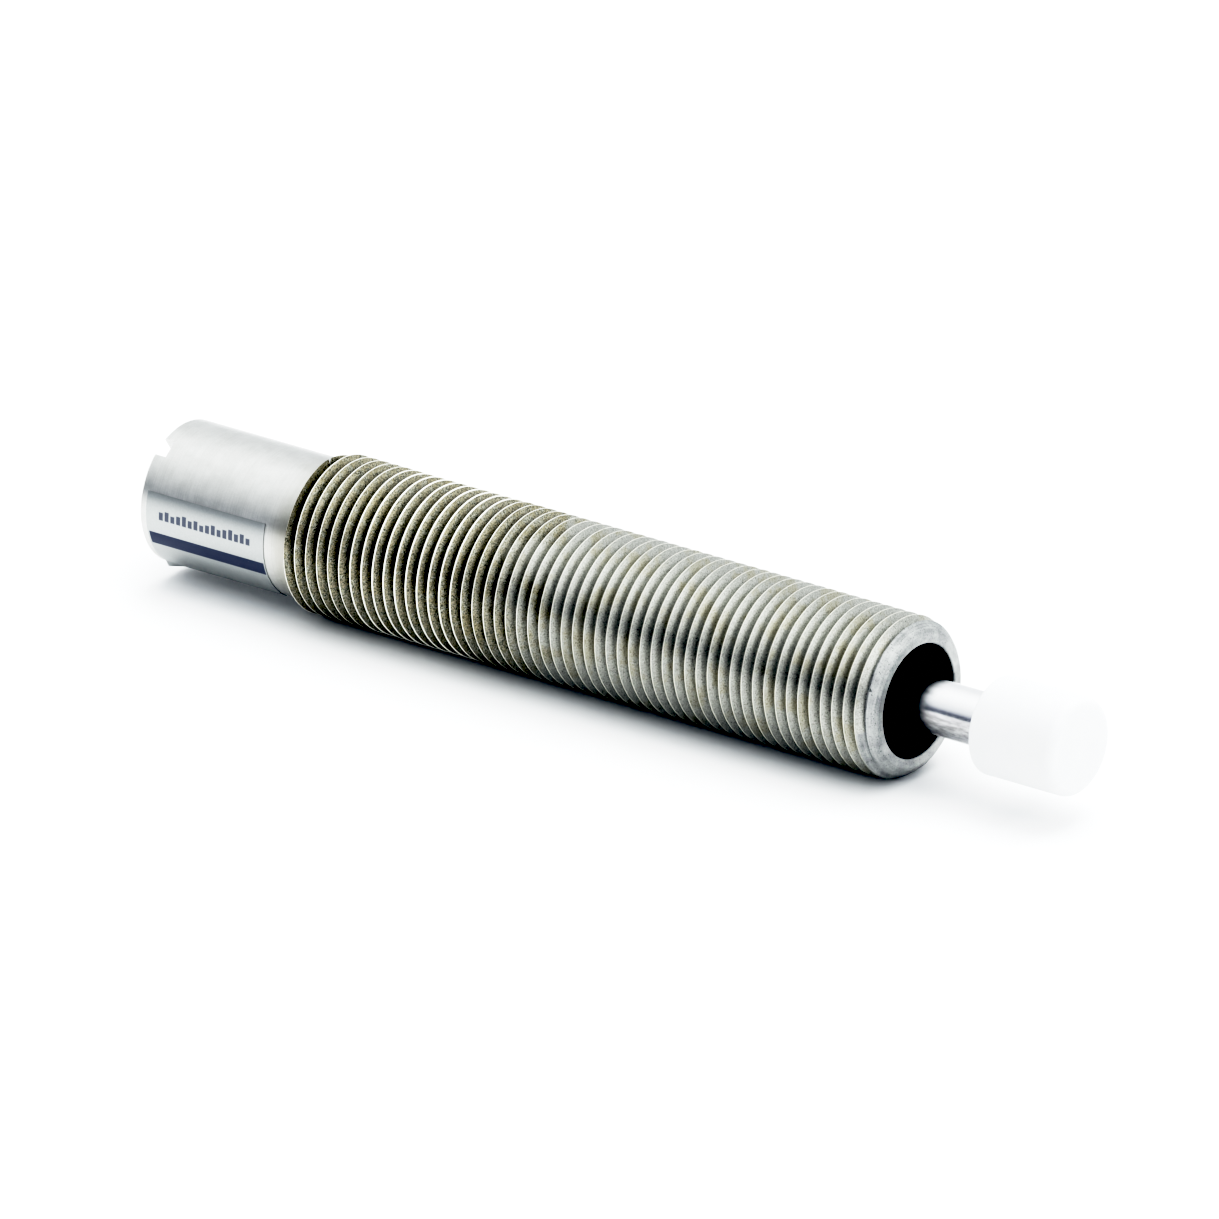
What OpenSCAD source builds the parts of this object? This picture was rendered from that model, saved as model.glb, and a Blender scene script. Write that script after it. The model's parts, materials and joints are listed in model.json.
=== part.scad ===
// Miniature hydraulic shock absorber with a threaded body, a fixed front stop and a
// spring-returned rod under a plastic cap.
// Frame: +X runs along the rod towards the cap, +Z is up. The origin is on the axis, in
// the plane of the body's front face. Each profile is a list of [radius, x] points.
// Angles round the axis start at +Z and turn towards -Y. All sizes are in millimetres.

/* [Body] */
// Outside diameter of the M12 x 1 thread
thread_d = 11.9; // [11.8:0.05:12]
// Pitch of the thread
thread_pitch = 1; // [1:0.25:1.5]
// Overall length of the body
body_len = 66; // [66:0.5:80]
// Diameter of the plain rear section
plain_d = 10.5; // [10.2:0.1:10.8]
// Length of the plain rear section, with its shoulder
plain_len = 13.5; // [12:0.5:16]
// Size of the 45 degree chamfer round the front face
front_chamfer = 1.05; // [0.6:0.05:1.2]
// Diameter of the bore
bore_d = 8.4; // [8.2:0.1:8.6]
// Width of the screwdriver slot across the rear face
slot_w = 1.5; // [1:0.1:2]
// Depth of the screwdriver slot
slot_depth = 1.1; // [0.8:0.1:1.4]
// Angle of the slot round the axis
slot_angle = 33.5; // [0:0.5:180]

/* [Rod and cap] */
// Diameter of the piston rod
rod_d = 4; // [3.8:0.1:4]
// Travel of the rod, which brings the cap level with the front face
stroke = 14.2; // [12:0.1:14.2]
// Diameter of the cap
cap_d = 7.3; // [6:0.1:7.6]
// Length of the cap
cap_len = 7.3; // [6.5:0.1:7.3]
// Radius of the cap's front edge
cap_front_r = 0.7; // [0.3:0.1:1.2]
// Radius of the cap's rear edge
cap_rear_r = 0.25; // [0.1:0.05:0.4]

/* [Pressure chamber] */
// Outside diameter of the pressure tube
tube_d = 7.4; // [7.2:0.1:7.6]
// Inside diameter of the pressure tube
tube_bore_d = 6; // [5.9:0.05:6.1]
// Number of metering holes along the tube
orifice_count = 5; // [3:1:8]
// Diameter of a metering hole
orifice_d = 0.4; // [0.3:0.05:0.6]

/* [Return spring] */
// Diameter of the spring wire
wire_d = 0.45; // [0.3:0.05:0.45]
// Mean diameter of the spring
spring_mean_d = 5.2; // [5.1:0.05:5.3]
// Turns of the spring, with one closed turn at each end
spring_turns = 7; // [5:1:8]

/* [Label] */
// Length of the label along the body
label_len = 10.65; // [8:0.05:11]
// Angle at which the label starts round the axis
label_from = 71; // [0:1:120]
// Angle that the label covers
label_angle = 80; // [40:1:180]

/* [Hidden] */
$fn = 96;
over = 1;                     // how far a cut runs past the surface it opens
running = 0.04;               // radial clearance of a running fit
slip = 0.05;                  // radial clearance of a piece pushed into place
touch = 0.01;                 // gap left between pieces that only touch

thread_r = thread_d / 2;
plain_r = plain_d / 2;
bore_r = bore_d / 2;
rod_r = rod_d / 2;
cap_r = cap_d / 2;
tube_r = tube_d / 2;
tube_bore_r = tube_bore_d / 2;
wire_r = wire_d / 2;
spring_r = spring_mean_d / 2;
seat_r = bore_r - slip;       // outside radius of everything pushed into the bore

// Thread form: 60 degrees, crest flat of an eighth and root flat of a quarter of a pitch
crest_flat = thread_pitch / 8;
root_flat = thread_pitch / 4;
groove_w = thread_pitch - crest_flat;
groove_depth = (groove_w - root_flat) / 2 / tan(30);
front_land = 0.8;             // plain ring between the chamfer and the first groove
rear_land = 0.4;              // least plain ring behind the last groove
thread_start = -front_chamfer - front_land;
shoulder_x = plain_len - body_len;
shoulder_h = 0.2;             // length of the cone from the thread down to the plain section
groove_count = floor((thread_start - shoulder_x - shoulder_h - rear_land) / thread_pitch);
rear_edge = 0.2;              // chamfer of the rear edge
mouth_edge = 0.15;            // broken edge at the mouth of the bore

// Places along the axis, from the front face backwards
cap_front_x = stroke;
cap_rear_x = cap_front_x - cap_len;
socket_depth = 5;
rod_front_x = cap_rear_x + socket_depth;
cap_room = 0.6;               // room left behind the cap at full stroke
snap_groove_x = -(cap_len + cap_room);
snap_groove_w = 0.8;
snap_groove_h = 0.3;
snap_t = 0.7;
snap_gap_angle = 40;
snap_inner_r = 3.3;
cover_x = snap_groove_x - snap_groove_w - touch;
cover_len = 0.7;
wiper_x = cover_x - cover_len - touch;
wiper_len = 1.6;
guide_x = wiper_x - wiper_len - touch;
guide_len = 6.5;
liner_r = 2.6;
liner_inset = 0.3;
o_ring_r = 0.48;              // radius of the O-ring's section
o_ring_groove_w = 1.3;
o_ring_x = guide_x - guide_len / 2;
seal_x = guide_x - guide_len - touch;
seal_len = 2.4;
support_x = seal_x - seal_len - touch;
support_len = 1;
foam_x = support_x - support_len - touch;
foam_len = 10;
foam_inner_r = 2.35;
head_x = foam_x - foam_len - touch;
flange_len = 1;
spigot_len = 1;
tube_x = head_x - flange_len - touch;
oil_gap = 1.3;                // oil space in front of the piston at rest
piston_x = tube_x - spigot_len - oil_gap;
piston_len = 3;
piston_r = tube_bore_r - slip;
hub_r = 1.9;
hub_len = 0.9;
piston_hole_r = 0.3;
piston_hole_pcr = 2.4;        // radius of the circle that the piston's holes lie on
piston_holes = 4;
seat_gap = 0.02;              // gap between the piston and its check ring
check_x = piston_x - piston_len - seat_gap;
check_len = 0.5;
check_r = 2.75;
washer_x = piston_x - piston_len - hub_len - slip;
washer_len = 0.5;
washer_r = 2.85;
nut_x = washer_x - washer_len - slip;
nut_len = 1.5;
nut_af = 3.8;
spigot_r = 1.5;               // radius of the rod's threaded end
thread_stub = 0.4;            // rod end that stands out behind the nut
rod_rear_x = nut_x - nut_len - thread_stub;
rod_chamfer = 0.25;
bore_end_x = -59.6;
plug_len = 1.3;
plug_x = bore_end_x + plug_len + touch;
tube_len = tube_x - plug_x - touch;
chamber_end_x = plug_x + spigot_len;
plug_hole_r = 0.8;

// Filling port behind the bore: a channel, a ball on its seat and a socket set screw
port_r = 1.25;
channel_r = 0.6;
channel_len = 1.4;
ball_seat_x = bore_end_x - channel_len;
ball_r = 0.95;
ball_x = ball_seat_x - touch - sqrt(ball_r * ball_r - channel_r * channel_r);
screw_front_x = ball_x - ball_r - touch;
screw_len = 2;
screw_r = port_r - touch;
socket_af = 1.5;
socket_len = 1.1;

orifice_r = orifice_d / 2;
return_port_r = 0.4;
return_port_inset = 0.6;
return_port_x = tube_x - spigot_len - return_port_inset;
head_notch_w = 1;
head_notch_h = 0.6;
head_notches = 4;

label_t = 0.06;
label_inset = 0.7;            // from the rear face to the label
label_x = label_inset - body_len;

steel = [0.72, 0.72, 0.70];
bright_steel = [0.82, 0.83, 0.85];
dark_steel = [0.45, 0.45, 0.47];
spring_steel = [0.60, 0.61, 0.63];
bronze = [0.70, 0.52, 0.28];
white_plastic = [0.95, 0.95, 0.94];
foil = [0.80, 0.82, 0.82];
black_rubber = [0.08, 0.08, 0.08];
green_rubber = [0.13, 0.30, 0.20];
grey_foam = [0.30, 0.31, 0.33];

// Turns local Z to +X, with local +X (angle 0) pointing up and angles turning to -Y
module along_x() {
    rotate([0, 90, 0]) rotate([0, 0, 180]) children();
}

// A solid of revolution about the X axis from [radius, x] points
module lathe(points) {
    along_x() rotate_extrude() polygon(points);
}

// A solid rod about the X axis from front_x backwards
module rod(r, front_x, len) {
    along_x() translate([0, 0, front_x - len]) cylinder(h = len, r = r);
}

// A plain ring about the X axis from front_x backwards
module ring(outer_r, inner_r, front_x, len) {
    difference() {
        rod(outer_r, front_x, len);
        rod(inner_r, front_x + over, len + 2 * over);
    }
}

// Puts something at an angle and a radius round the axis
module at_angle(angle, radius, x) {
    along_x() rotate([0, 0, angle]) translate([radius, 0, x]) children();
}

// The profile points of one thread groove, from its front edge backwards
function groove(front_x) = [
    [thread_r, front_x],
    [thread_r - groove_depth, front_x - (groove_w - root_flat) / 2],
    [thread_r - groove_depth, front_x - (groove_w + root_flat) / 2],
    [thread_r, front_x - groove_w]
];

module body_shell() {
    threads = [
        for (i = [0 : groove_count - 1])
            for (p = groove(thread_start - i * thread_pitch)) p
    ];
    front = [[0, 0], [thread_r - front_chamfer, 0], [thread_r, -front_chamfer]];
    rear = [
        [thread_r, shoulder_x + shoulder_h],
        [plain_r, shoulder_x],
        [plain_r, rear_edge - body_len],
        [plain_r - rear_edge, -body_len],
        [0, -body_len]
    ];
    color(steel) difference() {
        lathe(concat(front, threads, rear));
        rod(bore_r, over, over - bore_end_x);
        lathe([[0, over], [bore_r + mouth_edge + over, over], [bore_r, -mouth_edge], [0, -mouth_edge]]);
        ring(bore_r + snap_groove_h, bore_r - over, snap_groove_x, snap_groove_w);
        rod(channel_r, bore_end_x + over, body_len);
        rod(port_r, ball_seat_x, body_len);
        at_angle(slot_angle, 0, -body_len - over)
            translate([-body_len / 2, -slot_w / 2, 0])
                cube([body_len, slot_w, slot_depth + over]);
    }
}

module label() {
    color(foil) along_x() rotate([0, 0, label_from])
        rotate_extrude(angle = label_angle)
            translate([plain_r, label_x]) square([label_t, label_len]);
}

module bumper_cap() {
    front_arc = [
        for (a = [0 : 15 : 90])
            [cap_r - cap_front_r * (1 - sin(a)), cap_front_x - cap_front_r * (1 - cos(a))]
    ];
    rear_arc = [
        for (a = [0 : 30 : 90])
            [cap_r - cap_rear_r * (1 - cos(a)), cap_rear_x + cap_rear_r * (1 - sin(a))]
    ];
    socket_r = rod_r + touch;
    color(white_plastic) lathe(concat(
        [[0, rod_front_x + touch], [0, cap_front_x]],
        front_arc,
        rear_arc,
        [[socket_r, cap_rear_x], [socket_r, rod_front_x + touch]]
    ));
}

module piston_rod() {
    color(bright_steel) lathe([
        [0, rod_front_x],
        [rod_r - rod_chamfer, rod_front_x],
        [rod_r, rod_front_x - rod_chamfer],
        [rod_r, piston_x],
        [spigot_r, piston_x],
        [spigot_r, rod_rear_x + rod_chamfer],
        [spigot_r - rod_chamfer, rod_rear_x],
        [0, rod_rear_x]
    ]);
}

module snap_ring() {
    side_gap = (snap_groove_w - snap_t) / 2;
    outer_r = bore_r + snap_groove_h - slip;
    color(dark_steel) along_x() rotate([0, 0, 180 + snap_gap_angle / 2])
        rotate_extrude(angle = 360 - snap_gap_angle)
            translate([snap_inner_r, snap_groove_x - side_gap - snap_t])
                square([outer_r - snap_inner_r, snap_t]);
}

module cover_washer() {
    color(dark_steel) ring(seat_r, rod_r + slip, cover_x, cover_len);
}

module wiper() {
    rear_x = wiper_x - wiper_len;
    lip_r = rod_r + running;
    lip_len = 0.2;
    relief_r = lip_r + 0.4;
    front_r = lip_r + 0.7;
    color(black_rubber) lathe([
        [seat_r, wiper_x],
        [front_r, wiper_x],
        [lip_r, wiper_x - lip_len],
        [lip_r, wiper_x - 2 * lip_len],
        [relief_r, wiper_x - 4 * lip_len],
        [relief_r, rear_x],
        [seat_r, rear_x]
    ]);
}

module rod_guide() {
    groove_r = bore_r - touch - 2 * o_ring_r - touch;
    color(steel) difference() {
        ring(seat_r, liner_r + touch, guide_x, guide_len);
        ring(bore_r + over, groove_r, o_ring_x + o_ring_groove_w / 2, o_ring_groove_w);
    }
}

module guide_liner() {
    color(bronze) ring(liner_r, rod_r + running, guide_x - liner_inset, guide_len - 2 * liner_inset);
}

module guide_o_ring() {
    color(black_rubber) along_x() translate([0, 0, o_ring_x]) rotate_extrude()
        translate([bore_r - touch - o_ring_r, 0]) circle(r = o_ring_r);
}

module rod_seal() {
    rear_x = seal_x - seal_len;
    lip_r = rod_r + running;
    relief_r = lip_r + 0.12;
    relief_len = 1.2;
    lip_t = 0.3;
    heel_len = 1;
    inner_root_r = lip_r + 0.8;
    outer_root_r = seat_r - 0.7;
    outer_lip_t = 0.25;
    color(green_rubber) lathe([
        [seat_r, seal_x],
        [relief_r, seal_x],
        [relief_r, seal_x - relief_len],
        [lip_r, rear_x + lip_t],
        [lip_r + lip_t, rear_x],
        [inner_root_r, seal_x - heel_len],
        [outer_root_r, seal_x - heel_len],
        [seat_r - outer_lip_t, rear_x],
        [seat_r, rear_x + lip_t]
    ]);
}

module seal_support() {
    color(dark_steel) ring(seat_r, rod_r + slip, support_x, support_len);
}

module accumulator_foam() {
    color(grey_foam) ring(seat_r, foam_inner_r, foam_x, foam_len);
}

module tube_head() {
    color(steel) difference() {
        union() {
            rod(seat_r, head_x, flange_len);
            rod(tube_bore_r - touch, head_x, flange_len + spigot_len);
        }
        rod(rod_r + slip, head_x + over, flange_len + spigot_len + 2 * over);
        for (i = [0 : head_notches - 1])
            at_angle(i * 360 / head_notches, seat_r - head_notch_h, head_x - flange_len - over)
                translate([0, -head_notch_w / 2, 0])
                    cube([head_notch_h + over, head_notch_w, flange_len + 2 * over]);
    }
}

// One radial hole through the near wall of the tube
module tube_hole(r, x, angle) {
    at_angle(angle, 0, x) rotate([0, 90, 0]) cylinder(h = tube_r + over, r = r, $fn = 32);
}

module pressure_tube() {
    first_x = piston_x - piston_len;
    color(steel) difference() {
        ring(tube_r, tube_bore_r, tube_x, tube_len);
        for (i = [0 : orifice_count - 1]) {
            left = (orifice_count - i) / orifice_count;
            tube_hole(orifice_r, first_x - stroke * (1 - left * left), 90);
        }
        for (angle = [0, 180]) tube_hole(return_port_r, return_port_x, angle);
    }
}

module piston() {
    color(bronze) difference() {
        union() {
            rod(piston_r, piston_x, piston_len);
            rod(hub_r, piston_x, piston_len + hub_len);
        }
        rod(spigot_r + touch, piston_x + over, piston_len + hub_len + 2 * over);
        for (i = [0 : piston_holes - 1])
            at_angle(45 + i * 360 / piston_holes, piston_hole_pcr, piston_x - piston_len - over)
                cylinder(h = piston_len + 2 * over, r = piston_hole_r, $fn = 32);
    }
}

module check_ring() {
    color(dark_steel) ring(check_r, hub_r + slip, check_x, check_len);
}

module spring_washer() {
    color(dark_steel) ring(washer_r, spigot_r + slip, washer_x, washer_len);
}

module piston_nut() {
    color(dark_steel) difference() {
        along_x() translate([0, 0, nut_x - nut_len])
            cylinder(h = nut_len, r = nut_af / sqrt(3), $fn = 6);
        rod(spigot_r + touch, nut_x + over, nut_len + 2 * over);
    }
}

// Coil spring: closed end turns, then an even rise between them
steps_per_turn = 14;
wire_sides = 8;
spring_steps = spring_turns * steps_per_turn;
coil_front_x = washer_x - washer_len - wire_r - touch;
coil_rear_x = chamber_end_x + wire_r + touch;
closed_rise = wire_d * 1.15;
open_turns = spring_turns - 2;
open_rise = (coil_front_x - coil_rear_x - 2 * closed_rise) / open_turns;

// Distance along the axis after a number of turns
function coil_travel(turns) =
    closed_rise * min(turns, 1)
    + open_rise * min(max(turns - 1, 0), open_turns)
    + closed_rise * max(turns - 1 - open_turns, 0);

function wire_point(step, side) =
    let (
        turns = step / steps_per_turn,
        a = 360 * turns,
        s = 360 * (side + 0.5) / wire_sides,
        r = spring_r + wire_r * cos(s)
    )
    [coil_front_x - coil_travel(turns) + wire_r * sin(s), -r * sin(a), r * cos(a)];

function wire_index(step, side) = step * wire_sides + (side % wire_sides);

module return_spring() {
    points = [
        for (step = [0 : spring_steps]) for (side = [0 : wire_sides - 1]) wire_point(step, side)
    ];
    sides = [
        for (step = [0 : spring_steps - 1]) for (side = [0 : wire_sides - 1]) [
            wire_index(step, side),
            wire_index(step + 1, side),
            wire_index(step + 1, side + 1),
            wire_index(step, side + 1)
        ]
    ];
    first_end = [for (side = [0 : wire_sides - 1]) wire_index(0, side)];
    last_end = [for (side = [wire_sides - 1 : -1 : 0]) wire_index(spring_steps, side)];
    color(spring_steel) polyhedron(points, concat([first_end], sides, [last_end]), 4);
}

module base_plug() {
    color(steel) difference() {
        union() {
            rod(seat_r, plug_x, plug_len);
            rod(tube_bore_r - touch, chamber_end_x, spigot_len + plug_len);
        }
        rod(plug_hole_r, chamber_end_x + over, spigot_len + plug_len + 2 * over);
    }
}

module filler_ball() {
    color(bright_steel) translate([ball_x, 0, 0]) sphere(r = ball_r);
}

module filler_screw() {
    color(dark_steel) difference() {
        rod(screw_r, screw_front_x, screw_len);
        along_x() translate([0, 0, screw_front_x - screw_len - over])
            cylinder(h = socket_len + over, r = socket_af / sqrt(3), $fn = 6);
    }
}

body_shell();
label();
bumper_cap();
piston_rod();
snap_ring();
cover_washer();
wiper();
rod_guide();
guide_liner();
guide_o_ring();
rod_seal();
seal_support();
accumulator_foam();
tube_head();
pressure_tube();
piston();
check_ring();
spring_washer();
piston_nut();
return_spring();
base_plug();
filler_ball();
filler_screw();
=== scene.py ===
"""Looks of a miniature hydraulic shock absorber: a threaded steel body, a chromed rod and a white cap.

The CAD frame lies along X, with the rod leaving the body towards +X and the axis at Y = Z = 0.
Angles round the axis start at +Z and turn towards -Y. Lengths are in metres.
"""
import json
import math

import bmesh
import bpy
import numpy as np
from mathutils import Matrix, Vector


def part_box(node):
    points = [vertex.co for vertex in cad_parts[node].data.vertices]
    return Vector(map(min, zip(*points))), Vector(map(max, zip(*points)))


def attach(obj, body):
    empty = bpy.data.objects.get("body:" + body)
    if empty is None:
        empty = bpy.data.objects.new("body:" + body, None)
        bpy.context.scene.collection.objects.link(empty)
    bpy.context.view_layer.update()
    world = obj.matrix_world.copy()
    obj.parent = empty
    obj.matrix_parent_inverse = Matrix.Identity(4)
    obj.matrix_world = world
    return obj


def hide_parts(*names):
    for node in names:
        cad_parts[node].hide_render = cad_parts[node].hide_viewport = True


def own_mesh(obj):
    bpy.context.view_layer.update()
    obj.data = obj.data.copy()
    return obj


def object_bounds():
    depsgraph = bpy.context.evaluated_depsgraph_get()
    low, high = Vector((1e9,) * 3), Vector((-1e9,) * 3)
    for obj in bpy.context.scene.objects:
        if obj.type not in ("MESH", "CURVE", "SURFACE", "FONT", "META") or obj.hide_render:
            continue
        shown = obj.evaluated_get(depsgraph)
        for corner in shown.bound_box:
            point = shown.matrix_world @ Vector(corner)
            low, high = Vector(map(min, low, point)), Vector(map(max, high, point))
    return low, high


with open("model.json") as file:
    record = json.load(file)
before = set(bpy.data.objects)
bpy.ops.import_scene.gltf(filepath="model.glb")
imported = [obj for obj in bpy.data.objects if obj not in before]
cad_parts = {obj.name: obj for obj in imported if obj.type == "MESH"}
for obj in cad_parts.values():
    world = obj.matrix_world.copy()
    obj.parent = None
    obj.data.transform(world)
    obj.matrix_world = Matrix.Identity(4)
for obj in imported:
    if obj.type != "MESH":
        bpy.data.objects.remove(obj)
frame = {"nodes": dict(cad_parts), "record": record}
cad_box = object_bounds()

MM = 0.001

# ---------------------------------------------------------------- sizes, from the frame
body_lo, body_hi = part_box("body_shell")
label_lo, label_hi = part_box("label")
rod_lo, rod_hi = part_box("piston_rod")
cap_lo, cap_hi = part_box("bumper_cap")
washer_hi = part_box("cover_washer")[1]
snap_lo, snap_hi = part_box("snap_ring")
plug_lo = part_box("base_plug")[0]
screw_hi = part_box("filler_screw")[1]

TOUCH = 0.01 * MM              # gap between pieces that only touch
SLIP = 0.05 * MM               # radial clearance of a piece pushed into place

BODY_REAR = body_lo.x
THREAD_R = body_hi.z
PLAIN_R = 5.25 * MM
PLAIN_LENGTH = 13.5 * MM
BORE_R = washer_hi.y + SLIP
ROD_R = rod_hi.y
CAP_R = cap_hi.y
FLOOR_Z = cad_box[0].z

PITCH = 1.0 * MM
CREST_FLAT = PITCH / 14
ROOT_FLAT = PITCH / 8
FLANK_SLOPE = math.tan(math.radians(60))
FRONT_CHAMFER = 1.05 * MM
MOUTH = 0.15 * MM              # rounding of the bore's front edge
SHOULDER_X = BODY_REAR + PLAIN_LENGTH
SHOULDER_LENGTH = 0.2 * MM
FIRST_CREST_X = -1.56 * MM     # middle of the first whole crest, seen at angle 0
SEGMENTS = 120                 # round the axis

BORE_END = plug_lo.x - TOUCH
BALL_SEAT_X = BORE_END - 1.4 * MM
CHANNEL_R = 0.6 * MM           # filling channel between the bore and the ball

SPRING_SEAT_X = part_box("base_plug")[1].x

SLOT_WIDTH = 1.5 * MM
SLOT_DEPTH = 1.1 * MM
SLOT_ANGLE = math.radians(33.5)

LABEL_FROM = math.radians(71)
LABEL_SWEEP = math.radians(80)

SAME_POINT = 1e-7              # vertices nearer than this are one


# ---------------------------------------------------------------- meshes
def new_mesh(name, bm):
    """Turns a bmesh into an object of that name, with its normals outward."""
    bmesh.ops.recalc_face_normals(bm, faces=bm.faces)
    mesh = bpy.data.meshes.new(name)
    bm.to_mesh(mesh)
    bm.free()
    obj = bpy.data.objects.new(name, mesh)
    bpy.context.collection.objects.link(obj)
    return obj


def smooth(obj, sharp_degrees=35):
    """Shades smooth, with edges over that angle kept sharp."""
    obj.data.shade_smooth()
    obj.data.set_sharp_from_angle(angle=math.radians(sharp_degrees))
    return obj


def point(x, r, angle):
    """The point at that place along the axis, radius and angle."""
    return (x, -r * math.sin(angle), r * math.cos(angle))


def weld(bm, distance=SAME_POINT):
    """Joins the vertices that lie together and drops what has shrunk to nothing."""
    bmesh.ops.remove_doubles(bm, verts=bm.verts, dist=distance)
    bmesh.ops.dissolve_degenerate(bm, edges=bm.edges, dist=SAME_POINT / 10)


def add_lathe(bm, profile):
    """Adds the surface that a profile of (x, radius) points sweeps round the axis."""
    angles = [2 * math.pi * j / SEGMENTS for j in range(SEGMENTS)]
    rings = [[bm.verts.new(point(x, r, a)) for a in angles] for x, r in profile]
    for ring, following in zip(rings, rings[1:]):
        for j in range(SEGMENTS):
            k = (j + 1) % SEGMENTS
            bm.faces.new((ring[j], ring[k], following[k], following[j]))


def turned(name, profile):
    """A solid of revolution about the axis. The profile starts and ends on the axis."""
    bm = bmesh.new()
    add_lathe(bm, profile)
    weld(bm)
    return smooth(new_mesh(name, bm))


def close_tube(bm, loops):
    """Skins a row of closed loops of vertices and closes both its ends."""
    count = len(loops[0])
    for a, b in zip(loops, loops[1:]):
        for k in range(count):
            n = (k + 1) % count
            bm.faces.new((a[k], a[n], b[n], b[k]))
    bm.faces.new(loops[0])
    bm.faces.new(list(reversed(loops[-1])))


def rounded(corner_x, corner_r, radius, turn, steps=5):
    """Points of a quarter round at a profile corner.

    turn gives the signs (along x, along r) towards the solid.
    """
    cx = corner_x + turn[0] * radius
    cr = corner_r + turn[1] * radius
    return [
        (cx - turn[0] * radius * math.cos(a), cr - turn[1] * radius * math.sin(a))
        for a in np.linspace(0, math.pi / 2, steps + 1)
    ]


# ---------------------------------------------------------------- threaded body
def half_thread():
    """The thread from the middle of a crest to the middle of a root, in pitches.

    Gives the places along the axis and how far the thread lies below its crest there.
    """
    crest = CREST_FLAT / PITCH / 2
    root = 0.5 - ROOT_FLAT / PITCH / 2
    depth = (root - crest) * FLANK_SLOPE
    worn = 0.009                # drop at the crest's worn corner
    soft = 0.02                 # half length of the root's soft corner
    stations = [0, crest * 0.7, crest, crest * 1.4, root - soft, root + soft, 0.5]
    drops = [0, 0, worn, FLANK_SLOPE * crest * 0.4, depth - FLANK_SLOPE * soft, depth, depth]
    return stations, drops


def front_edge(steps=8):
    """Points of the front chamfer, slightly crowned, from the thread to the front face."""
    run_in = 0.25 * MM
    start = Vector((-FRONT_CHAMFER - run_in, THREAD_R))
    end = Vector((0, THREAD_R - FRONT_CHAMFER))
    bend = Vector((-FRONT_CHAMFER * 0.42, THREAD_R - FRONT_CHAMFER * 0.22))
    points = []
    for t in np.linspace(0, 1, steps + 1):
        points.append(start * (1 - t) ** 2 + bend * 2 * t * (1 - t) + end * t * t)
    return [(p.x, p.y) for p in points]


def envelope(x):
    """Radius of the turned blank: soft front chamfer, thread diameter, rear shoulder."""
    knots = [SHOULDER_X, SHOULDER_X + SHOULDER_LENGTH]
    radii = [PLAIN_R, THREAD_R]
    for px, pr in front_edge():
        knots.append(px)
        radii.append(pr)
    return np.interp(x, knots, radii)


def thread_surface():
    """Rings of the right-handed helical thread, cut to the blank's envelope.

    Each ring follows the helix for one turn, so the end of a ring is the start of the ring
    one pitch on. The rings are therefore one long strip, closed by joining equal points.
    """
    stations, drops = half_thread()
    one_pitch = np.array(stations + [1 - s for s in reversed(stations[1:-1])])
    turns_ahead = 3             # in front of the first whole crest, before the cut
    turns = int(-SHOULDER_X / PITCH) + turns_ahead + 1
    u = np.concatenate([one_pitch + n for n in range(turns)])
    rise = np.arange(SEGMENTS + 1) / SEGMENTS
    front = FIRST_CREST_X + turns_ahead * PITCH
    x = front - (u[:, None] - rise[None, :]) * PITCH
    from_crest = np.abs((u + 0.5) % 1 - 0.5)
    drop = np.interp(from_crest, stations, drops) * PITCH
    r = np.repeat((THREAD_R - drop)[:, None], SEGMENTS + 1, axis=1)
    # where the thread crosses the envelope, the nearer point moves onto the crossing
    gap = r - envelope(x)
    for j in range(SEGMENTS + 1):
        for i in range(len(u) - 1):
            a, b = gap[i, j], gap[i + 1, j]
            if a * b < 0:
                t = a / (a - b)
                k = i if t < 0.5 else i + 1
                x[k, j] += (t if t < 0.5 else t - 1) * (x[i + 1, j] - x[i, j])
                r[k, j] = envelope(x[k, j])
                gap[k, j] = 0
    x = np.clip(x, SHOULDER_X, 0)
    return x, np.minimum(r, envelope(x)), len(one_pitch)


def add_thread(bm):
    """Adds the thread strip to bm."""
    x, r, per_pitch = thread_surface()
    rows = x.shape[0]
    verts = {}
    for i in range(rows):
        for j in range(SEGMENTS):
            verts[i, j] = bm.verts.new(point(x[i, j], r[i, j], 2 * math.pi * j / SEGMENTS))
    for i in range(per_pitch, rows - 1):
        for j in range(SEGMENTS):
            # a ring's last segment meets the start of the ring one pitch on
            on, k = (i, j + 1) if j < SEGMENTS - 1 else (i - per_pitch, 0)
            bm.faces.new((verts[i, j], verts[on, k], verts[on + 1, k], verts[i + 1, j]))


def join_meshes(target, other):
    """Adds the other object's mesh to the target's and removes the other object."""
    bm = bmesh.new()
    bm.from_mesh(target.data)
    bm.from_mesh(other.data)
    bmesh.ops.remove_doubles(bm, verts=bm.verts, dist=2 * SAME_POINT)
    bmesh.ops.recalc_face_normals(bm, faces=bm.faces)
    bm.to_mesh(target.data)
    bm.free()
    bpy.data.objects.remove(other)
    return target


def apply_modifiers(obj):
    """Leaves the modifiers' result as the object's mesh."""
    depsgraph = bpy.context.evaluated_depsgraph_get()
    mesh = bpy.data.meshes.new_from_object(obj.evaluated_get(depsgraph))
    obj.modifiers.clear()
    obj.data = mesh
    return obj


def slot_cutter():
    """A bar across the rear face, as deep as the slot."""
    length = 4 * PLAIN_R
    bm = bmesh.new()
    bmesh.ops.create_cube(bm, size=1.0)
    bmesh.ops.scale(bm, vec=(2 * SLOT_DEPTH, SLOT_WIDTH, length), verts=bm.verts)
    turn = Matrix.Rotation(SLOT_ANGLE, 3, "X")
    bmesh.ops.rotate(bm, cent=(0, 0, 0), matrix=turn, verts=bm.verts)
    bmesh.ops.translate(bm, vec=(BODY_REAR, 0, 0), verts=bm.verts)
    return new_mesh("slot_cutter", bm)


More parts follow.
